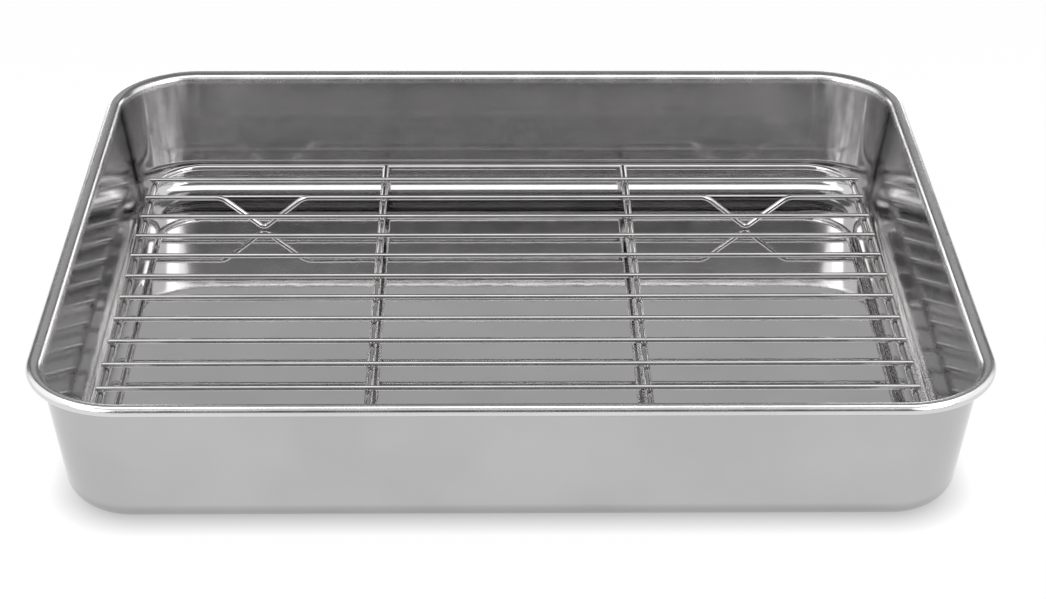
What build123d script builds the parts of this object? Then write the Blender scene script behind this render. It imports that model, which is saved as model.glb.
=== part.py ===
from build123d import *
from math import cos, radians, sin, tan
import os

os.makedirs("parts", exist_ok=True)

# Roasting pan with a lift-out wire rack. Lengths are in millimetres.
# X runs along the long side, Y from the front to the back, Z up.
# The origin is the middle of the pan's flat underside.

# Pan
pan_length = 320.0
pan_depth = 272.0
pan_height = 50.8
sheet = 0.7
wall_draft = 7.9
plan_corner_radius = 34.0
floor_bend_radius = 9.5

# Rolled rim of the pan
rim_width = 5.3
rim_roll_radius = 1.9
rim_flare_radius = 3.0
rim_lip_gap = 0.3

# Gaps from the rack's frame to the pan's wall. The rack lies loose, pushed to the back.
rack_back_clearance = 1.5
rack_front_clearance = 12.1
rack_left_clearance = 4.8
rack_right_clearance = 5.8
rack_corner_clearance = 3.3

# Rack, a stack of welded wires. Its top is measured from the pan's floor.
rack_top_height = 15.1
frame_wire = 3.0
runner_wire = 3.0
runner_spacing = 98.5
cross_wire = 2.0
cross_wire_count = 13
cross_wire_overhang = 0.5
cross_wire_end_round = 0.4
weld_sink = 0.15
butt_weld_sink = 0.3

# Feet, bent in the second cross wire from each end
foot_wire = 2.2
foot_spacing = 195.6
foot_slope = 39.5
foot_shoulder_radius = 7.0
foot_tip_radius = 2.6
foot_clearance = 0.3
foot_rows_from_end = 1


def rounded_loop(length, depth, radius, height):
    """Closed line round a rounded rectangle, from the middle of its front side."""
    half_length, half_depth = length / 2, depth / 2
    half_run = half_length - radius
    side_run = depth - 2 * radius
    with BuildLine() as loop:
        run = Line((0, -half_depth, height), (half_run, -half_depth, height))
        for next_run in (side_run, 2 * half_run, side_run, half_run):
            corner = JernArc(run @ 1, run % 1, radius, 90)
            run = Line(corner @ 1, corner @ 1 + (corner % 1) * next_run)
    return loop.wire()


# Section of the pan's edge: x is measured inwards from the rim's outer edge, y is the height
slope = radians(wall_draft)
inward = Vector(cos(slope), sin(slope))

flare_centre = Vector(rim_width - rim_flare_radius, pan_height - rim_flare_radius)
roll_centre = Vector(rim_roll_radius, pan_height - rim_roll_radius)
roll_inside = rim_roll_radius - sheet
flare_inside = rim_flare_radius - sheet

# The outer face of the wall is a straight line, one sheet outside the flare's inner face
wall_offset = flare_centre.dot(inward) + flare_inside
bend_centre = Vector(
    (wall_offset + floor_bend_radius - floor_bend_radius * sin(slope)) / cos(slope),
    floor_bend_radius,
)
bend_inside = floor_bend_radius - sheet
floor_inset = bend_centre.X

# The lip ends a small gap short of the wall's outer face
lip_top = roll_centre.Y - roll_inside
wall_at_lip = (wall_offset - lip_top * sin(slope)) / cos(slope)
lip_end = wall_at_lip - rim_lip_gap
lip_bottom = roll_centre.Y - rim_roll_radius


def arc_point(centre, radius, angle):
    """Point on a circle of the section, with the angle in degrees."""
    return centre + Vector(cos(radians(angle)), sin(radians(angle))) * radius


# Pan: one drawn sheet with sloping walls and a rim rolled outwards and under
with BuildPart() as pan:
    rim_line = rounded_loop(pan_length, pan_depth, plan_corner_radius, 0)
    with BuildSketch(Plane(origin=rim_line @ 0, x_dir=(0, 1, 0), z_dir=(1, 0, 0))):
        with BuildLine():
            bottom = ThreePointArc(
                (floor_inset, 0),
                arc_point(bend_centre, floor_bend_radius, 225 + wall_draft / 2),
                bend_centre - inward * floor_bend_radius,
            )
            outer_wall = Line(bottom @ 1, flare_centre + inward * flare_inside)
            flare_under = ThreePointArc(
                outer_wall @ 1,
                arc_point(flare_centre, flare_inside, 45 + wall_draft / 2),
                flare_centre + Vector(0, flare_inside),
            )
            top_under = Line(flare_under @ 1, roll_centre + Vector(0, roll_inside))
            roll_under = ThreePointArc(
                top_under @ 1, roll_centre - Vector(roll_inside, 0), roll_centre - Vector(0, roll_inside)
            )
            lip = Polyline(
                roll_under @ 1,
                (lip_end, lip_top),
                (lip_end, lip_bottom),
                (roll_centre.X, lip_bottom),
            )
            roll = ThreePointArc(
                lip @ 1, roll_centre - Vector(rim_roll_radius, 0), roll_centre + Vector(0, rim_roll_radius)
            )
            top = Line(roll @ 1, flare_centre + Vector(0, rim_flare_radius))
            flare = ThreePointArc(
                top @ 1,
                arc_point(flare_centre, rim_flare_radius, 45 + wall_draft / 2),
                flare_centre + inward * rim_flare_radius,
            )
            inner_wall = Line(flare @ 1, bend_centre - inward * bend_inside)
            floor_bend = ThreePointArc(
                inner_wall @ 1,
                arc_point(bend_centre, bend_inside, 225 + wall_draft / 2),
                (floor_inset, sheet),
            )
            Line(floor_bend @ 1, bottom @ 0)
        make_face()
    sweep(path=rim_line)
    with BuildSketch():
        RectangleRounded(
            pan_length - 2 * floor_inset,
            pan_depth - 2 * floor_inset,
            plan_corner_radius - floor_inset,
        )
    extrude(amount=sheet)
pan.part.label = "pan"
export_step(pan.part, "parts/pan.step")

# Heights of the rack's wires above the pan's underside, taken at their centre lines
cross_height = sheet + rack_top_height - cross_wire / 2
frame_height = cross_height - cross_wire / 2 - frame_wire / 2 + weld_sink
runner_height = cross_height - cross_wire / 2 - runner_wire / 2 + weld_sink
foot_height = sheet + foot_clearance + foot_wire / 2
foot_top_height = frame_height + frame_wire / 2 + foot_wire / 2 - weld_sink

# Plan of the frame's centre line. It fits the well as wide as the well is at the frame's height.
well_inset = (wall_offset + sheet - frame_height * sin(slope)) / cos(slope)
side_clearances = rack_left_clearance + rack_right_clearance
end_clearances = rack_front_clearance + rack_back_clearance
rack_length = pan_length - 2 * well_inset - side_clearances - frame_wire
rack_depth = pan_depth - 2 * well_inset - end_clearances - frame_wire
rack_corner_radius = plan_corner_radius - well_inset - rack_corner_clearance - frame_wire / 2
rack_set_back = (rack_front_clearance - rack_back_clearance) / 2
rack_set_right = (rack_left_clearance - rack_right_clearance) / 2

# Frame: one round wire bent into a rounded rectangle, butt-welded into a ring
with BuildPart() as rack_frame:
    frame_line = rounded_loop(rack_length, rack_depth, rack_corner_radius, frame_height)
    frame_line = frame_line.moved(Location((rack_set_right, rack_set_back, 0)))
    with BuildSketch(Plane(origin=frame_line @ 0, z_dir=frame_line % 0)):
        Circle(frame_wire / 2)
    sweep(path=frame_line)
rack_frame.part.label = "rack_frame"
export_step(rack_frame.part, "parts/rack_frame.step")

# Runners: two straight wires from the frame's front run to its back run, under the cross wires
runner_length = rack_depth - frame_wire + 2 * butt_weld_sink
for side, place in (("left", -runner_spacing / 2), ("right", runner_spacing / 2)):
    with BuildPart() as runner:
        with BuildSketch(Plane.XZ.offset(-rack_set_back)):
            with Locations((rack_set_right + place, runner_height)):
                Circle(runner_wire / 2)
        extrude(amount=runner_length / 2, both=True)
    runner.part.label = f"rack_runner_{side}"
    export_step(runner.part, f"parts/rack_runner_{side}.step")

# Cross wires, numbered from the back. They lie on the frame and the runners, and divide
# the frame's depth evenly.
cross_length = rack_length + frame_wire + 2 * cross_wire_overhang
cross_wire_pitch = rack_depth / (cross_wire_count + 1)
back_wire_place = rack_set_back + cross_wire_pitch * (cross_wire_count - 1) / 2
foot_rows = (foot_rows_from_end, cross_wire_count - 1 - foot_rows_from_end)


def straight_wire(place):
    """Plain cross wire with its cut ends rounded off."""
    with BuildPart() as wire:
        with BuildSketch(Plane.YZ.offset(rack_set_right)):
            with Locations((place, cross_height)):
                Circle(cross_wire / 2)
        extrude(amount=cross_length / 2, both=True)
        fillet(wire.edges().filter_by(GeomType.CIRCLE), cross_wire_end_round)
    return wire.part


# The V of a foot is rounded at its tip, so its lines meet a little below the tip
foot_corner_depth = foot_tip_radius * (1 / cos(radians(foot_slope)) - 1)
foot_corner_height = foot_height - foot_corner_depth
foot_half_width = (foot_top_height - foot_corner_height) / tan(radians(foot_slope))


def footed_wire(place):
    """Cross wire that dips down to the pan's floor twice, in a V at each foot."""
    end = cross_length / 2
    foot = foot_spacing / 2
    half_route = (
        (foot - foot_half_width, foot_top_height),
        (foot, foot_corner_height),
        (foot + foot_half_width, foot_top_height),
        (end, foot_top_height),
    )
    route = [(rack_set_right - x, place, z) for x, z in reversed(half_route)]
    route += [(rack_set_right + x, place, z) for x, z in half_route]
    bends = 2 * [foot_shoulder_radius, foot_tip_radius, foot_shoulder_radius]
    with BuildPart() as wire:
        with BuildLine():
            wire_line = FilletPolyline(*route, radius=bends)
        with BuildSketch(Plane(origin=wire_line @ 0, z_dir=wire_line % 0)):
            Circle(foot_wire / 2)
        sweep(path=wire_line)
        ends = wire.faces().filter_by(GeomType.PLANE)
        fillet(ends.edges(), cross_wire_end_round)
    return wire.part


for row in range(cross_wire_count):
    place = back_wire_place - row * cross_wire_pitch
    is_footed = row in foot_rows
    wire_part = footed_wire(place) if is_footed else straight_wire(place)
    wire_name = "rack_foot_wire" if is_footed else "rack_cross_wire"
    wire_part.label = f"{wire_name}_{row + 1:02d}"
    export_step(wire_part, f"parts/{wire_part.label}.step")
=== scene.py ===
from math import cos, degrees, pi, radians, sin, tan
from random import Random

import bpy
from mathutils import Matrix, Vector


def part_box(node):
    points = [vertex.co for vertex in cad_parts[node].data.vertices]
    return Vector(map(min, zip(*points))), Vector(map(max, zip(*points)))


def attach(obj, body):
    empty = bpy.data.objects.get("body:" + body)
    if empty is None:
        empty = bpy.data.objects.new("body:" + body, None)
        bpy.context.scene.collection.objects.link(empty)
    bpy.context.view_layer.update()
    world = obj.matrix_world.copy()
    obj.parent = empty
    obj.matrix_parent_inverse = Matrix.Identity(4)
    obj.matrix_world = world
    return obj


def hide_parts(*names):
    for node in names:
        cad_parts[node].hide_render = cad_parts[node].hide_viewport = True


# %% [markdown]
# A roasting pan of plain stainless steel with a wire rack lying in it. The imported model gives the
# pieces at their real sizes. Here each of them gets a clean surface, because polished steel shows
# every facet as a broken reflection. All lengths are in metres, so one millimetre has a name.

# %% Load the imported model
MM = 0.001
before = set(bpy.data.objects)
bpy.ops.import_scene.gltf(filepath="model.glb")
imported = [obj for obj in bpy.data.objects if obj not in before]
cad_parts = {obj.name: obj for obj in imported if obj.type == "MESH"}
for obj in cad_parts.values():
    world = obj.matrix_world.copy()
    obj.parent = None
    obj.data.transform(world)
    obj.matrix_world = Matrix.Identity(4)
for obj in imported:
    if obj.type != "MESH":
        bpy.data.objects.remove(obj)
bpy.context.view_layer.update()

# %% [markdown]
# Every piece is modelled with the same few moves that one makes by hand in edit mode: start from a
# ring, draw it along a straight run, and turn it about the centre of a bend. Blender's spin operator
# turns clockwise about its axis, so the helper gives it the opposite angle.

# %% Moves in edit mode
MERGE = 0.01 * MM
QUARTER_TURN = 90
FACING_X = (0, radians(QUARTER_TURN), 0)
FACING_Y = (-radians(QUARTER_TURN), 0, 0)
SMOOTH_BELOW = 35


def deselect_all():
    """Leaves no object selected, because an operator acts on everything that is."""
    bpy.ops.object.select_all(action="DESELECT")


def start_ring(name, centre, radius, sides, rotation, fill="NOTHING"):
    """A circle of wire or rim, left in edit mode with all of it selected."""
    deselect_all()
    bpy.ops.mesh.primitive_circle_add(
        vertices=sides, radius=radius, fill_type=fill, location=centre, rotation=rotation
    )
    piece = bpy.context.object
    piece.name = name
    bpy.ops.object.transform_apply(location=True, rotation=True, scale=True)
    bpy.ops.object.mode_set(mode="EDIT")
    bpy.ops.mesh.select_mode(type="VERT")
    bpy.ops.mesh.select_all(action="SELECT")
    return piece


def run_by(offset):
    """Draws what is selected along a straight run."""
    bpy.ops.mesh.extrude_region_move(TRANSFORM_OT_translate={"value": offset})


def turn_about(centre, axis, angle_deg, steps):
    """Draws what is selected round a bend, anticlockwise when the axis points at the eye."""
    bpy.ops.mesh.spin(steps=steps, angle=-radians(angle_deg), center=centre, axis=axis)


def select_where(piece, test):
    """Selects the vertices that pass a test of their place, and the edges and faces they make."""
    bpy.ops.mesh.select_all(action="DESELECT")
    bpy.ops.object.mode_set(mode="OBJECT")
    for vertex in piece.data.vertices:
        vertex.select = test(vertex.co)
    bpy.ops.object.mode_set(mode="EDIT")


def draw_round(length, depth, radius, steps):
    """Draws the selected section round a rounded rectangle, from the middle of its front side."""
    half_run = length / 2 - radius
    side_run = depth - 2 * radius
    right, left = half_run, -half_run
    front, back = -side_run / 2, side_run / 2
    up = (0, 0, 1)
    run_by((half_run, 0, 0))
    turn_about((right, front, 0), up, QUARTER_TURN, steps)
    run_by((0, side_run, 0))
    turn_about((right, back, 0), up, QUARTER_TURN, steps)
    run_by((-2 * half_run, 0, 0))
    turn_about((left, back, 0), up, QUARTER_TURN, steps)
    run_by((0, -side_run, 0))
    turn_about((left, front, 0), up, QUARTER_TURN, steps)
    run_by((half_run, 0, 0))


def close_up():
    """Merges doubled vertices and turns all faces outwards."""
    bpy.ops.mesh.select_all(action="SELECT")
    bpy.ops.mesh.remove_doubles(threshold=MERGE)
    bpy.ops.mesh.normals_make_consistent(inside=False)


def finish_piece(piece):
    """Leaves edit mode and shades smooth, with the wide flat faces ruling the normals."""
    bpy.ops.object.mode_set(mode="OBJECT")
    bpy.ops.object.shade_smooth_by_angle(angle=radians(SMOOTH_BELOW))
    weighted = piece.modifiers.new("weighted_normals", "WEIGHTED_NORMAL")
    weighted.keep_sharp = True
    bpy.ops.object.modifier_apply(modifier=weighted.name)
    print(piece.name, len(piece.data.vertices), "vertices,", len(piece.data.polygons), "faces")
    return piece


print("edit mode helpers ready, points closer than", MERGE / MM, "mm are merged")

# %% [markdown]
# The pan is one sheet of steel, drawn deep in a press, with its edge rolled outwards and under so
# that no sharp lip is left. It could be boxed up from a cube with bevels, but the sheet keeps one
# thickness and every bend is round, so a section drawn round the rim comes closer. The section is
# the sheet's inner face, and it starts as the circle that the rolled rim follows.

# %% Sizes of the pan
pan_low, pan_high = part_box("pan")
PAN_LENGTH = pan_high.x - pan_low.x
PAN_DEPTH = pan_high.y - pan_low.y
PAN_HEIGHT = pan_high.z
SHEET = 0.7 * MM
WALL_DRAFT = 7.9
PAN_CORNER_RADIUS = 34 * MM
FLOOR_BEND_RADIUS = 9.5 * MM
RIM_WIDTH = 5.3 * MM
RIM_ROLL_RADIUS = 1.9 * MM
RIM_FLARE_RADIUS = 3.0 * MM
RIM_LIP_GAP = 0.3 * MM
FLOOR_HOLD = 1.5 * MM

draft = radians(WALL_DRAFT)
rim_edge = -PAN_DEPTH / 2
roll_y, roll_z = rim_edge + RIM_ROLL_RADIUS, PAN_HEIGHT - RIM_ROLL_RADIUS
flare_y, flare_z = rim_edge + RIM_WIDTH - RIM_FLARE_RADIUS, PAN_HEIGHT - RIM_FLARE_RADIUS

# The wall's inner face keeps one distance from the corner of the rim, along its own normal
wall_offset = (flare_y - rim_edge) * cos(draft) + flare_z * sin(draft) + RIM_FLARE_RADIUS
bend_inside = FLOOR_BEND_RADIUS - SHEET
bend_z = FLOOR_BEND_RADIUS
bend_y = rim_edge + (wall_offset + bend_inside - bend_z * sin(draft)) / cos(draft)
wall_normal = Vector((0, cos(draft), sin(draft)))
flare_to_bend = Vector((0, bend_y - flare_y, bend_z - flare_z))
wall_run = flare_to_bend - (bend_inside + RIM_FLARE_RADIUS) * wall_normal
lip_z = roll_z - RIM_ROLL_RADIUS
lip_top_z = lip_z + SHEET
wall_outside_at_lip = rim_edge + (wall_offset - SHEET - lip_top_z * sin(draft)) / cos(draft)
lip_run = wall_outside_at_lip - RIM_LIP_GAP - roll_y
print("straight stretch of the wall in mm:", round(wall_run.length / MM, 1))

# %% [markdown]
# The circle loses the half that faces the pan. Its top end then runs in over the flat of the rim,
# turns down through the flare, runs down the wall and turns in to the floor. Its bottom end runs in
# to the lip.

# %% Draw the pan's section and sweep it
ROLL_SIDES = 48
FLARE_STEPS = 12
BEND_STEPS = 18
CORNER_STEPS = 36

pan = start_ring("pan_shell", (0, roll_y, roll_z), RIM_ROLL_RADIUS, ROLL_SIDES, FACING_X)
select_where(pan, lambda p: p.y > roll_y + MERGE)
bpy.ops.mesh.delete(type="VERT")
select_where(pan, lambda p: p.z > PAN_HEIGHT - MERGE)
run_by((0, flare_y - roll_y, 0))
turn_about((0, flare_y, flare_z), (-1, 0, 0), QUARTER_TURN - WALL_DRAFT, FLARE_STEPS)
run_by(wall_run)
turn_about((0, bend_y, bend_z), (1, 0, 0), QUARTER_TURN - WALL_DRAFT, BEND_STEPS)
select_where(pan, lambda p: p.z < lip_z + MERGE and abs(p.y - roll_y) < MERGE)
run_by((0, lip_run, 0))

bpy.ops.mesh.select_all(action="SELECT")
draw_round(PAN_LENGTH, PAN_DEPTH, PAN_CORNER_RADIUS, CORNER_STEPS)
bpy.ops.mesh.select_all(action="SELECT")
bpy.ops.mesh.remove_doubles(threshold=MERGE)
print(4 * CORNER_STEPS, "strips of faces round the four corners")

# %% [markdown]
# The floor closes the open ring at the bottom. A second ring just inside it keeps the floor's
# shading flat right up to the bend. So far this is only the sheet's inner face. Solidify gives it
# the sheet's thickness, and it gives the new outer face a second material of its own.

# %% Close the floor and give the sheet its thickness
select_where(pan, lambda p: p.z < SHEET + MERGE)
bpy.ops.mesh.edge_face_add()
bpy.ops.mesh.inset(thickness=FLOOR_HOLD)
bpy.ops.mesh.select_all(action="SELECT")
bpy.ops.mesh.normals_make_consistent(inside=False)
bpy.ops.object.mode_set(mode="OBJECT")

# The floor's upper face has to look up, because the sheet grows away from its outward side
floor_face = min(pan.data.polygons, key=lambda face: face.center.z + face.center.xy.length)
if floor_face.normal.z < 0:
    bpy.ops.object.mode_set(mode="EDIT")
    bpy.ops.mesh.flip_normals()
    bpy.ops.object.mode_set(mode="OBJECT")

thicken = pan.modifiers.new("sheet", "SOLIDIFY")
thicken.thickness = SHEET
thicken.offset = -1
thicken.use_even_offset = True
thicken.material_offset = 1
bpy.ops.object.modifier_apply(modifier=thicken.name)
finish_piece(pan)

# %% [markdown]
# The rack's frame is one round wire bent into a rounded rectangle, and its two ends meet in a butt
# weld in the middle of the front run. A ring of the wire's section is drawn round the same kind of
# path as the rim, and the doubled ring where it closes is merged.

# %% Rack frame
WIRE_SIDES = 28
WIRE_CORNER_STEPS = 20
RACK_CORNER_CLEARANCE = 3.3 * MM

frame_low, frame_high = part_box("rack_frame")
frame_middle = (frame_low + frame_high) / 2
FRAME_WIRE = frame_high.z - frame_low.z
rack_length = frame_high.x - frame_low.x - FRAME_WIRE
rack_depth = frame_high.y - frame_low.y - FRAME_WIRE
well_inset = (wall_offset - frame_middle.z * sin(draft)) / cos(draft)
rack_corner = PAN_CORNER_RADIUS - well_inset - RACK_CORNER_CLEARANCE - FRAME_WIRE / 2

rack_frame = start_ring(
    "rack_frame_wire", (0, -rack_depth / 2, frame_middle.z), FRAME_WIRE / 2, WIRE_SIDES, FACING_X
)
draw_round(rack_length, rack_depth, rack_corner, WIRE_CORNER_STEPS)
close_up()
bpy.ops.mesh.select_all(action="SELECT")
bpy.ops.transform.translate(value=(frame_middle.x, frame_middle.y, 0))
finish_piece(rack_frame)

# %% [markdown]
# The straight wires are cut from drawn stock. A cylinder would do as well, but a ring drawn along one
# run takes its place and its length straight from the box of the CAD piece. The ends of the cross
# wires are tumbled until their edge is rounded, and a bevel gives them that.

# %% A straight wire and its ends
CROSS_END_ROUND = 0.4 * MM
END_STEPS = 4


def round_ends(wire, axis, low, high):
    """Rounds the edges of a wire's two cut ends, which lie at low and high on one axis."""
    bpy.ops.mesh.select_mode(type="EDGE")
    bpy.ops.mesh.select_all(action="DESELECT")
    bpy.ops.object.mode_set(mode="OBJECT")
    for edge in wire.data.edges:
        places = [wire.data.vertices[i].co[axis] for i in edge.vertices]
        edge.select = max(places) < low + MERGE or min(places) > high - MERGE
    bpy.ops.object.mode_set(mode="EDIT")
    bpy.ops.mesh.bevel(offset=CROSS_END_ROUND, segments=END_STEPS, affect="EDGES")


def straight_wire(node, axis, rotation):
    """A straight round wire that fills the box of its CAD node, in edit mode."""
    low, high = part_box(node)
    start = (low + high) / 2
    start[axis] = low[axis]
    run = Vector()
    run[axis] = high[axis] - low[axis]
    radius = (high.z - low.z) / 2
    wire = start_ring(node + "_drawn", start, radius, WIRE_SIDES, rotation, fill="NGON")
    run_by(run)
    close_up()
    return wire


print("wire ends are rounded by", round(CROSS_END_ROUND / MM, 1), "mm")

# %% [markdown]
# The cross wires lie on the frame with both ends free. The two runners lie under them, from the
# frame's front side to its back side, and their ends go into the welds.

# %% Cross wires and runners
def cross_wire(node):
    """A wire along X with its two ends rounded off."""
    low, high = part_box(node)
    wire = straight_wire(node, 0, FACING_X)
    round_ends(wire, 0, low.x, high.x)
    return finish_piece(wire)


def runner(node):
    """A wire along Y. Its ends are hidden in the welds, so they stay square."""
    return finish_piece(straight_wire(node, 1, FACING_Y))


rack_pieces = {"rack_frame": rack_frame}
for node in sorted(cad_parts):
    if node.startswith("rack_cross_wire"):
        rack_pieces[node] = cross_wire(node)
    elif node.startswith("rack_runner"):
        rack_pieces[node] = runner(node)

# %% [markdown]
# The second cross wire from each end is bent down to the floor and up again, twice. It is bent cold
# over round pins, so each bend is an arc and the stretches between are straight. A curve with a
# round section would follow the same route, but this way the wire is made as it is bent: a run up to
# each bend, then a turn about the pin's centre.

# %% Foot wires
FOOT_SPACING = 195.6 * MM
FOOT_SLOPE = 39.5
FOOT_SHOULDER_RADIUS = 7.0 * MM
FOOT_TIP_RADIUS = 2.6 * MM
SHOULDER_STEPS = 10
TIP_STEPS = 14


def foot_wire(node):
    """A cross wire with two V feet, bent in the plane of its own length."""
    low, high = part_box(node)
    radius = (high.y - low.y) / 2
    y = (low.y + high.y) / 2
    top, tip = high.z - radius, low.z + radius
    middle = (low.x + high.x) / 2
    slope = radians(FOOT_SLOPE)
    tip_corner = tip - FOOT_TIP_RADIUS * (1 / cos(slope) - 1)
    half_foot = (top - tip_corner) / tan(slope)
    corners = [(low.x, top)]
    for foot in (middle - FOOT_SPACING / 2, middle + FOOT_SPACING / 2):
        corners += [(foot - half_foot, top), (foot, tip_corner), (foot + half_foot, top)]
    corners.append((high.x, top))
    shoulder = (FOOT_SHOULDER_RADIUS, SHOULDER_STEPS)
    bends = 2 * [shoulder, (FOOT_TIP_RADIUS, TIP_STEPS), shoulder]
    start = (low.x, y, top)
    wire = start_ring(node + "_drawn", start, radius, WIRE_SIDES, FACING_X, fill="NGON")
    place = Vector(corners[0])
    for here, after, (bend_radius, steps) in zip(corners[1:], corners[2:], bends):
        here, after = Vector(here), Vector(after)
        along, onward = (here - place).normalized(), (after - here).normalized()
        turn = along.angle_signed(onward)
        shorten = bend_radius * tan(abs(turn) / 2)
        run = here - along * shorten - place
        run_by((run.x, 0, run.y))
        side = Vector((-along.y, along.x)) * (-1 if turn > 0 else 1)
        centre = here - along * shorten + side * bend_radius
        turn_about((centre.x, y, centre.y), (0, 1, 0), degrees(turn), steps)
        place = here + onward * shorten
    last = Vector(corners[-1]) - place
    run_by((last.x, 0, last.y))
    close_up()
    round_ends(wire, 0, low.x, high.x)
    return finish_piece(wire)


for node in sorted(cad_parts):
    if node.startswith("rack_foot_wire"):
        rack_pieces[node] = foot_wire(node)

# %% [markdown]
# The wires are joined by resistance welding. Two electrodes press each crossing together, a current
# melts the spot where the wires touch, and a little soft metal is squeezed out beside it. In the
# photograph that metal is a dark dot under each cross wire, with a bright fleck on either side.
# It could be drawn into the wires, but a bead of its own is how the eye reads it. So one bead is
# shaped from a sphere, squashed and made a little uneven, and then copied to every crossing.

# %% One weld bead
BEAD_ACROSS = 1.4 * MM
BEAD_ALONG = 1.4 * MM
BEAD_UP = 0.75 * MM
BEAD_UNEVEN = 0.07 * MM
BEAD_SIDES = 18
BEAD_RINGS = 12
BEAD_SEED = 4
BEAD_SMOOTHING = 0.5
BEAD_SMOOTH_ROUNDS = 2


def weld_bead():
    """A bead of squeezed metal, centred on the origin, round from above and about half as high."""
    deselect_all()
    bpy.ops.mesh.primitive_uv_sphere_add(segments=BEAD_SIDES, ring_count=BEAD_RINGS, radius=1)
    bead = bpy.context.object
    bead.scale = (BEAD_ACROSS, BEAD_ALONG, BEAD_UP)
    bpy.ops.object.transform_apply(scale=True)
    bpy.ops.object.mode_set(mode="EDIT")
    bpy.ops.mesh.select_all(action="SELECT")
    bpy.ops.transform.vertex_random(offset=BEAD_UNEVEN, seed=BEAD_SEED)
    bpy.ops.mesh.vertices_smooth(factor=BEAD_SMOOTHING, repeat=BEAD_SMOOTH_ROUNDS)
    bpy.ops.object.mode_set(mode="OBJECT")
    bpy.ops.object.shade_smooth()
    return bead


first_bead = weld_bead()
print("one bead:", len(first_bead.data.polygons), "faces")

# %% [markdown]
# Each cross wire is welded to both runners and to both sides of the frame. The runners end on the
# front and the back of the frame, with a bead at each end. No two welds come out alike, so every copy
# is turned and sized a little by chance, from a fixed seed.

# %% A bead at every crossing
RUNNER_SINK = 0.3 * MM
BEAD_SIZE_LEAST = 0.88
BEAD_SIZE_MOST = 1.1
WELD_SEED = 11
chance = Random(WELD_SEED)
frame_top = frame_high.z
sides = [frame_low.x + FRAME_WIRE / 2, frame_high.x - FRAME_WIRE / 2]
runner_boxes = [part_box(node) for node in rack_pieces if node.startswith("rack_runner")]
runners = [(low.x + high.x) / 2 for low, high in runner_boxes]
weld_places = []
for node in rack_pieces:
    if "cross_wire" in node or "foot_wire" in node:
        low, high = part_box(node)
        weld_places += [(x, (low.y + high.y) / 2, frame_top) for x in sides + runners]
for low, high in runner_boxes:
    x, z = (low.x + high.x) / 2, (low.z + high.z) / 2
    weld_places += [(x, low.y + RUNNER_SINK, z), (x, high.y - RUNNER_SINK, z)]

beads = []
for place in weld_places:
    bead = first_bead.copy()
    bead.data = first_bead.data.copy()
    size = chance.uniform(BEAD_SIZE_LEAST, BEAD_SIZE_MOST)
    half_turn = Matrix.Rotation(pi * chance.randint(0, 1), 4, "Z")
    bead.matrix_world = Matrix.Translation(place) @ half_turn @ Matrix.Scale(size, 4)
    bpy.context.scene.collection.objects.link(bead)
    beads.append(bead)
bpy.data.objects.remove(first_bead)
deselect_all()
for bead in beads:
    bead.select_set(True)
bpy.context.view_layer.objects.active = beads[0]
bpy.ops.object.join()
welds = bpy.context.object
welds.name = "rack_weld_beads"
bpy.ops.object.transform_apply(location=True, rotation=True, scale=True)
print(len(weld_places), "weld beads")

# %% [markdown]
# The camera stands where it stood for the photograph. Its place, its turn and its focal length were
# solved from many points of the rim, the wires and the floor, so they are no round numbers. It looks
# down at a little under thirty degrees, and it is turned by hardly more than one degree.

# %% Camera
FOCAL_PX = 2511.8
PHOTO_WIDTH_PX = 1046
SENSOR = 36.0
CAMERA_PLACE = Vector((-9.75, -822.05, 462.91)) * MM
PITCH = 28.504
YAW = 1.0498
ROLL = 0.3897

cam_data = bpy.data.cameras.new("photo_camera")
cam_data.sensor_width = SENSOR
cam_data.lens = FOCAL_PX / PHOTO_WIDTH_PX * SENSOR
camera = bpy.data.objects.new("photo_camera", cam_data)
bpy.context.scene.collection.objects.link(camera)
turned = (
    Matrix.Rotation(-radians(YAW), 3, "Z")
    @ Matrix.Rotation(pi / 2 - radians(PITCH), 3, "X")
    @ Matrix.Rotation(radians(ROLL), 3, "Z")
)
camera.matrix_world = Matrix.Translation(CAMERA_PLACE) @ turned.to_4x4()
bpy.context.scene.camera = camera
print("focal length in mm:", round(cam_data.lens, 1))

# %% [markdown]
# Colours are written as the hex values that a colour picker shows. The shaders count in linear light,
# so one function turns them. The other small function adds a node and connects what feeds it.

# %% Colours and nodes
def linear(hex_colour):
    """An sRGB hex colour as linear red, green, blue and alpha."""
    parts = [int(hex_colour[i : i + 2], 16) / 255 for i in (1, 3, 5)]
    lit = [c / 12.92 if c <= 0.04045 else ((c + 0.055) / 1.055) ** 2.4 for c in parts]
    return (*lit, 1.0)


def add_node(tree, kind, settings=None, inputs=None):
    """Adds a node with its settings. Each input is a value or the socket that feeds it."""
    node = tree.nodes.new(kind)
    for name, value in (settings or {}).items():
        setattr(node, name, value)
    for name, value in (inputs or {}).items():
        socket = node.inputs[name]
        if isinstance(value, bpy.types.NodeSocket):
            tree.links.new(value, socket)
        else:
            socket.default_value = value
    return node


print("middle grey in linear light:", round(linear("#808080")[0], 3))

# %% [markdown]
# Bare steel is never one flat grey. Its tone drifts softly between two close greys, its polish is a
# little duller in some patches than in others, and a pressed sheet is never quite flat, so a straight
# reflection wanders in it. The three functions below give those three things. They take the size of
# a patch in real millimetres, so that the metal looks the same on every piece.

# %% Drifting tone, uneven polish, low waves
NOISE_LOW = 0.35
NOISE_HIGH = 0.65


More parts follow.
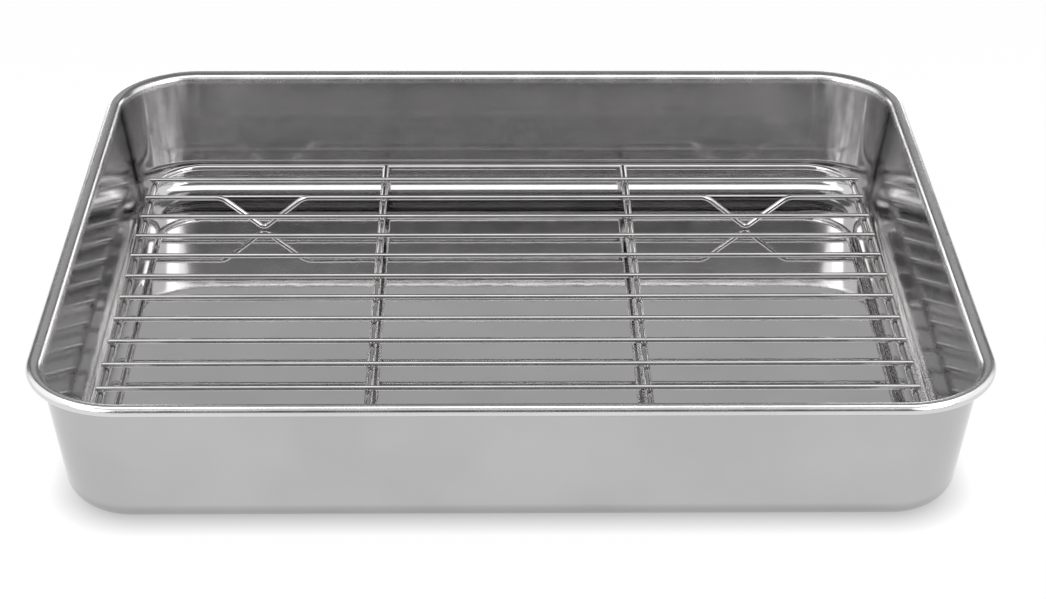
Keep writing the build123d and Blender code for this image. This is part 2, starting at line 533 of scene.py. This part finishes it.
def bare_steel(name, dark, pale, patch):
    """A bare metal with a drifting grey. Gives the material, its shader and the object's own place."""
    material = bpy.data.materials.new(name)
    material.use_nodes = True
    tree = material.node_tree
    shader = tree.nodes["Principled BSDF"]
    shader.inputs["Metallic"].default_value = 1
    place = add_node(tree, "ShaderNodeTexCoord").outputs["Object"]
    clouds = add_node(tree, "ShaderNodeTexNoise", inputs={"Vector": place, "Scale": 1 / patch})
    tone = add_node(tree, "ShaderNodeValToRGB", inputs={"Fac": clouds.outputs["Fac"]})
    ends = zip(tone.color_ramp.elements, (NOISE_LOW, NOISE_HIGH), (dark, pale))
    for stop, position, colour in ends:
        stop.position = position
        stop.color = linear(colour)
    tree.links.new(tone.outputs["Color"], shader.inputs["Base Color"])
    return material, shader, place


def uneven(tree, place, level, patch, share):
    """A level that goes up and down by a share of itself, from patch to patch."""
    noise = add_node(tree, "ShaderNodeTexNoise", inputs={"Vector": place, "Scale": 1 / patch})
    factor = add_node(
        tree,
        "ShaderNodeMapRange",
        inputs={
            "Value": noise.outputs["Fac"],
            "From Min": NOISE_LOW,
            "From Max": NOISE_HIGH,
            "To Min": 1 - share,
            "To Max": 1 + share,
        },
    )
    inputs = {0: level, 1: factor.outputs["Result"]}
    product = add_node(tree, "ShaderNodeMath", {"operation": "MULTIPLY"}, inputs)
    return product.outputs["Value"]


def add_waves(tree, place, shader, patch, height):
    """Low waves in the surface, each as wide as the patch."""
    noise = add_node(tree, "ShaderNodeTexNoise", inputs={"Vector": place, "Scale": 1 / patch})
    bump = add_node(
        tree, "ShaderNodeBump", inputs={"Height": noise.outputs["Fac"], "Distance": height}
    )
    tree.links.new(bump.outputs["Normal"], shader.inputs["Normal"])


print("noise runs from", NOISE_LOW, "to", NOISE_HIGH, "at most places")

# %% [markdown]
# The pan is bare stainless steel, drawn from bright rolled sheet. Inside, the flat floor has kept the
# mirror of the roll. The walls were stretched over the tool, which dulled them from the floor's bend
# upwards, so the rack's wires appear in them only as soft crescents. The rim is soft as well. The
# steel has one grey all over, but here the floor and the rim are painted lighter, as painted light,
# and the walls darker, as painted shade. Three materials would need hard borders between them, and
# the metal has none. So one material does all three, by the height above the table.

# %% Bright floor, satin wall, soft rim, and painted light and shade by height
SHEET_TONE_PATCH = 40 * MM
FLOOR_GLOSS = 0.045
WALL_SATIN = 0.13
RIM_SATIN = 0.25
# The wall's and the rim's greys as shares of the floor's: painted shade on the walls, and painted
# light on the rim, which brings it back up nearly to the floor's grey
WALL_PAINTED_SHADE_SHARE = 0.67
RIM_PAINTED_LIGHT_SHARE = 0.95
STRETCH_RISE = 1.4 * MM
stretch_heights = (SHEET, SHEET + STRETCH_RISE)
rim_heights = (lip_z - SHEET, lip_z + SHEET)

pan_inside, shader, place = bare_steel(
    "bright_floor_satin_wall", "#d7d6d6", "#dedddd", SHEET_TONE_PATCH
)
tree = pan_inside.node_tree
height = add_node(tree, "ShaderNodeSeparateXYZ", inputs={"Vector": place}).outputs["Z"]
climbs = []
for low, high in (stretch_heights, rim_heights):
    climb = add_node(
        tree,
        "ShaderNodeMapRange",
        settings={"interpolation_type": "SMOOTHSTEP"},
        inputs={"Value": height, "From Min": low, "From Max": high},
    )
    climbs.append(climb.outputs["Result"])


def by_height(floor, wall, rim):
    """A level that has one value on the pan's floor, another on its walls and a third on its rim."""
    level = floor
    for climb, above in zip(climbs, (wall, rim)):
        step = add_node(
            tree, "ShaderNodeMapRange", inputs={"Value": climb, "To Min": level, "To Max": above}
        )
        level = step.outputs["Result"]
    return level


# The grey is scaled by height: painted shade on the walls, painted light on the floor and the rim
tone = shader.inputs["Base Color"].links[0].from_socket
share = by_height(1, WALL_PAINTED_SHADE_SHARE, RIM_PAINTED_LIGHT_SHARE)
shaded = add_node(tree, "ShaderNodeVectorMath", {"operation": "SCALE"}, {0: tone, "Scale": share})
tree.links.new(shaded.outputs["Vector"], shader.inputs["Base Color"])
print("rim finish starts at", round(lip_z / MM, 1), "mm")

# %% [markdown]
# The polish is a little uneven, and the floor has fine scratches where racks were slid about. Real
# scratches and the grain of the polish are thinner than a twentieth of a millimetre and would fall
# between the pixels, so both are drawn coarser here. Noise that is stretched along one direction
# makes the scratches, and only its highest crests count.

# %% Uneven polish and scratches
POLISH_PATCH = 12 * MM
POLISH_SHARE = 0.16
GRAIN_PATCH = 0.6 * MM
GRAIN_SHARE = 0.05
SCRATCH_LENGTH = 16 * MM
SCRATCH_WIDTH = 0.5 * MM
SCRATCH_TURN = 14
SCRATCH_BEGINS = 0.66
SCRATCH_FULL = 0.72
SCRATCH_DULL = 0.14
WAVE_PATCH = 11 * MM
WAVE_HEIGHT = 0.022 * MM

polish = by_height(FLOOR_GLOSS, WALL_SATIN, RIM_SATIN)
patchy = uneven(tree, place, polish, POLISH_PATCH, POLISH_SHARE)
grainy = uneven(tree, place, patchy, GRAIN_PATCH, GRAIN_SHARE)
stretched = add_node(
    tree,
    "ShaderNodeMapping",
    inputs={
        "Vector": place,
        "Rotation": (0, 0, radians(SCRATCH_TURN)),
        "Scale": (1 / SCRATCH_LENGTH, 1 / SCRATCH_WIDTH, 1 / SCRATCH_LENGTH),
    },
)
streaks = add_node(
    tree, "ShaderNodeTexNoise", inputs={"Vector": stretched.outputs["Vector"], "Scale": 1}
)
scratch = add_node(
    tree,
    "ShaderNodeMapRange",
    inputs={
        "Value": streaks.outputs["Fac"],
        "From Min": SCRATCH_BEGINS,
        "From Max": SCRATCH_FULL,
        "To Max": by_height(SCRATCH_DULL, 0, 0),
    },
)
scratched = add_node(
    tree, "ShaderNodeMath", {"operation": "ADD"}, {0: grainy, 1: scratch.outputs["Result"]}
)
tree.links.new(scratched.outputs["Value"], shader.inputs["Roughness"])
add_waves(tree, place, shader, WAVE_PATCH, WAVE_HEIGHT)
print(pan_inside.name, "has", len(tree.nodes), "nodes")

# %% [markdown]
# Outside, the whole pan is satin steel. It was brushed after pressing, so evenly that the eye sees a
# calm grey with no lines, and lines drawn here would only flicker. Hands and shelves have left wide
# patches, a touch duller or brighter.

# %% Satin outside
OUTSIDE_SATIN = 0.25
HANDLED_PATCH = 30 * MM
HANDLED_SHARE = 0.08
OUTSIDE_WAVE_PATCH = 18 * MM
OUTSIDE_WAVE_HEIGHT = 0.012 * MM

pan_outside, shader, place = bare_steel("satin_outside", "#bcbbbb", "#bdbcbc", SHEET_TONE_PATCH)
tree = pan_outside.node_tree
handled = uneven(tree, place, OUTSIDE_SATIN, HANDLED_PATCH, HANDLED_SHARE)
grainy = uneven(tree, place, handled, GRAIN_PATCH, GRAIN_SHARE)
tree.links.new(grainy, shader.inputs["Roughness"])
add_waves(tree, place, shader, OUTSIDE_WAVE_PATCH, OUTSIDE_WAVE_HEIGHT)
print(pan_outside.name, "has", len(tree.nodes), "nodes")

# %% [markdown]
# The rack's wire is drawn stainless steel, pulled through a die and then polished. It is a darker
# grey than the pan's floor, and its polish gives the eye a thin hard line of light along each wire.
# Where racks rub on each other in the cupboard, the polish is scuffed.

# %% Bright drawn wire
WIRE_TONE_PATCH = 15 * MM
WIRE_GLOSS = 0.065
SCUFF_PATCH = 4 * MM
SCUFF_SHARE = 0.45
WIRE_WAVE_PATCH = 3 * MM
WIRE_WAVE_HEIGHT = 0.006 * MM

wire_material, shader, place = bare_steel("bright_drawn_wire", "#b4b3b3", "#bfbebe", WIRE_TONE_PATCH)
tree = wire_material.node_tree
scuffed = uneven(tree, place, WIRE_GLOSS, SCUFF_PATCH, SCUFF_SHARE)
tree.links.new(scuffed, shader.inputs["Roughness"])
add_waves(tree, place, shader, WIRE_WAVE_PATCH, WIRE_WAVE_HEIGHT)
print(wire_material.name, "has", len(tree.nodes), "nodes")

# %% [markdown]
# The metal squeezed out at a weld was hot in open air. It stays dull and grainy, and a thin skin of
# oxide tints it from grey to a weak straw brown.

# %% Weld metal
WELD_TONE_PATCH = 1.5 * MM
WELD_DULL = 0.24
WELD_GRAIN_PATCH = 0.5 * MM
WELD_GRAIN_SHARE = 0.3
WELD_WAVE_HEIGHT = 0.04 * MM

weld_material, shader, place = bare_steel("grainy_weld_metal", "#5c5751", "#8d8a87", WELD_TONE_PATCH)
tree = weld_material.node_tree
grainy = uneven(tree, place, WELD_DULL, WELD_GRAIN_PATCH, WELD_GRAIN_SHARE)
tree.links.new(grainy, shader.inputs["Roughness"])
add_waves(tree, place, shader, WELD_GRAIN_PATCH, WELD_WAVE_HEIGHT)
print(weld_material.name, "has", len(tree.nodes), "nodes")

# %% [markdown]
# The Solidify step gave the outer skin of the sheet the second material of the pan. Every piece then
# gets its finish and is hung on the body it rides on, and a CAD part it takes the place of is hidden.

# %% Give the pieces their materials and their bodies
pan.data.materials.append(pan_inside)
pan.data.materials.append(pan_outside)
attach(pan, "pan")
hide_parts("pan")
for node, piece in rack_pieces.items():
    piece.data.materials.append(wire_material)
    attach(piece, "rack")
    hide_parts(node)
welds.data.materials.append(weld_material)
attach(welds, "rack")
print(len(rack_pieces), "rack pieces and one group of weld beads")

# %% [markdown]
# The photograph was taken on pure white, and the steel outside shows that white evenly. So the table
# is white and glows, as if lit from below. A glowing face takes no shadow, and the pan would seem to
# float. So the glow gives way close to the pan, where the ambient occlusion node finds the air over
# the table hemmed in, and that is the narrow soft shade at the pan's foot.

# %% White table
TABLE_SIZE = 12000 * MM
TABLE_DULL = 0.9
TABLE_GLOW = 0.95
SHADE_GLOW = 0.45
SHADE_REACH = 9 * MM
deselect_all()
bpy.ops.mesh.primitive_plane_add(size=TABLE_SIZE)
table = bpy.context.object
table.name = "studio_table"
table_material = bpy.data.materials.new("lit_white_table")
table_material.use_nodes = True
tree = table_material.node_tree
shader = tree.nodes["Principled BSDF"]
shader.inputs["Base Color"].default_value = linear("#404040")
shader.inputs["Roughness"].default_value = TABLE_DULL
shader.inputs["Specular IOR Level"].default_value = 0
shader.inputs["Emission Color"].default_value = linear("#ffffff")
open_air = add_node(tree, "ShaderNodeAmbientOcclusion", inputs={"Distance": SHADE_REACH})
glow = add_node(
    tree,
    "ShaderNodeMapRange",
    inputs={"Value": open_air.outputs["AO"], "To Min": SHADE_GLOW, "To Max": TABLE_GLOW},
)
tree.links.new(glow.outputs["Result"], shader.inputs["Emission Strength"])
table.data.materials.append(table_material)
print("the shade reaches", round(SHADE_REACH / MM), "mm from the pan")

# %% [markdown]
# Polished steel has hardly a look of its own. It shows the room, so the room must be dark in some
# places, or the pan turns into a white blur. The air round the table is therefore dim, and dimmest
# low in front. Each step below gives a grey and its place, from 0 in front of the pan to 1 behind
# it. The camera itself sees plain white behind the table, as if the table never ended.

# %% Dim air round the table
AIR_STEPS = (
    (0.0, 0.06),
    (0.2, 0.14),
    (0.5, 0.2),
    (0.85, 0.18),
    (1.0, 0.1),
)
world = bpy.data.worlds.new("studio_air")
bpy.context.scene.world = world
world.use_nodes = True
tree = world.node_tree
tree.nodes.clear()
direction = add_node(tree, "ShaderNodeTexCoord").outputs["Generated"]
back = add_node(tree, "ShaderNodeSeparateXYZ", inputs={"Vector": direction}).outputs["Y"]
back_share = add_node(tree, "ShaderNodeMapRange", inputs={"Value": back, "From Min": -1})
ramp = add_node(tree, "ShaderNodeValToRGB", inputs={"Fac": back_share.outputs["Result"]})
stops = ramp.color_ramp.elements
while len(stops) < len(AIR_STEPS):
    stops.new(1)
for stop, (position, grey) in zip(stops, AIR_STEPS):
    stop.position = position
    stop.color = (grey, grey, grey, 1)
seen = add_node(tree, "ShaderNodeLightPath").outputs["Is Camera Ray"]
air = add_node(tree, "ShaderNodeBackground", inputs={"Color": ramp.outputs["Color"]})
backdrop = add_node(tree, "ShaderNodeBackground", inputs={"Color": linear("#ffffff")})
sky = add_node(
    tree,
    "ShaderNodeMixShader",
    inputs={"Fac": seen, 1: air.outputs["Background"], 2: backdrop.outputs["Background"]},
)
add_node(tree, "ShaderNodeOutputWorld", inputs={"Surface": sky.outputs["Shader"]})
print("greys of the air from front to back:", [grey for position, grey in AIR_STEPS])

# %% [markdown]
# The light comes from soft boxes, as it does in most studio photographs of steel. One hangs close
# over the front half of the pan and draws the white line along every wire and rim. A sloping sail in
# front of it widens that line on the back rim. The gap between the two is dark on purpose, because
# the pan's floor shows it by way of the back wall, and a dim strip at the ceiling panel's edge lets
# that dark end softly. A dim screen far behind is what the floor mirrors straight to the camera, and
# it makes the floor a calm middle grey. Two panels at the sides light the ends, the two low ones
# behind draw the bright edges along the runners and the side rims, and the two flaps in front put
# the streaks into the pan's rounded corners. A light's power is worked out from how bright its face
# should look, because that is what the steel mirrors.

# %% A soft box, and where it stands
def soft_box(name, place, size, radiance, aim=(0, 0, 0)):
    """A rectangular light that faces a point, with a face of one brightness."""
    data = bpy.data.lights.new(name, "AREA")
    data.shape = "RECTANGLE"
    data.size, data.size_y = size
    # The face of an area light is as bright as its power divided by four times its area
    data.energy = 4 * size[0] * size[1] * radiance
    light = bpy.data.objects.new(name, data)
    light.location = place
    light.rotation_mode = "QUATERNION"
    light.rotation_quaternion = (place - Vector(aim)).to_track_quat("Z", "Y")
    light.visible_camera = False
    bpy.context.scene.collection.objects.link(light)
    return light


def on_dome(side, turn_deg, rise_deg, away):
    """A place round the pan, on its left (-1) or right (1). A turn of 0 is straight in front."""
    turn, rise = side * radians(turn_deg), radians(rise_deg)
    return Vector((sin(turn) * cos(rise), -cos(turn) * cos(rise), sin(rise))) * away


at_the_right = on_dome(1, turn_deg=90, rise_deg=0, away=1)
print("a metre away at the right:", [round(c, 3) for c in at_the_right])

# %% [markdown]
# Each soft box has a width, a depth and a brightness, on the scale where the white table is nearly 1.
# Four of them stand over the middle of the pan, in front of it or behind it. The other six are three
# pairs, left and right alike, and each is given by how far round the pan it stands, how high above
# the table it is seen and how far away it is.

# %% Set up the lights
CEILING_HEIGHT = 360 * MM
CEILING_WIDTH = 700 * MM
CEILING_DEPTH = 200 * MM
CEILING_EDGE_DEPTH = 80 * MM
CEILING_FORWARD = 50 * MM
SAIL_PLACE = Vector((0, -235, 220)) * MM
SAIL_AIM = Vector((0, 10, 48)) * MM
SAIL_SIZE = Vector((620, 122)) * MM
SCREEN_PLACE = Vector((0, 1400, 870)) * MM
SCREEN_SIZE = Vector((1060, 560)) * MM
SIDE_SIZE = Vector((800, 700)) * MM
REAR_SIZE = Vector((260, 250)) * MM
FLAP_SIZE = Vector((500, 600)) * MM
SIDE_WAY = {"turn_deg": 90, "rise_deg": 30, "away": 700 * MM}
REAR_WAY = {"turn_deg": 156, "rise_deg": 8, "away": 900 * MM}
FLAP_WAY = {"turn_deg": 42, "rise_deg": 25, "away": 1000 * MM}

ceiling_size = (CEILING_WIDTH, CEILING_DEPTH)
ceiling_place = Vector((0, -CEILING_FORWARD, CEILING_HEIGHT))
ceiling_aim = (0, -CEILING_FORWARD, 0)
edge_forward = CEILING_FORWARD + (CEILING_DEPTH + CEILING_EDGE_DEPTH) / 2
edge_size = (CEILING_WIDTH, CEILING_EDGE_DEPTH)
edge_place = Vector((0, -edge_forward, CEILING_HEIGHT))
edge_aim = (0, -edge_forward, 0)
soft_box("ceiling_panel", ceiling_place, ceiling_size, radiance=1.8, aim=ceiling_aim)
soft_box("ceiling_edge", edge_place, edge_size, radiance=0.2, aim=edge_aim)
soft_box("front_sail", SAIL_PLACE, SAIL_SIZE, radiance=0.55, aim=SAIL_AIM)
soft_box("back_screen", SCREEN_PLACE, SCREEN_SIZE, radiance=0.25)
for side in (-1, 1):
    soft_box("side_panel", on_dome(side, **SIDE_WAY), SIDE_SIZE, radiance=0.9)
    soft_box("rear_panel", on_dome(side, **REAR_WAY), REAR_SIZE, radiance=2.0)
    soft_box("front_flap", on_dome(side, **FLAP_WAY), FLAP_SIZE, radiance=2.6)
print(len(bpy.data.lights), "soft boxes")

# %% [markdown]
# The picture is shown just as the light was counted, with no film curve over it, so the white table
# stays as white as in the photograph. It has to stay within the box of the imported model.

bpy.context.scene.view_settings.view_transform = "Standard"
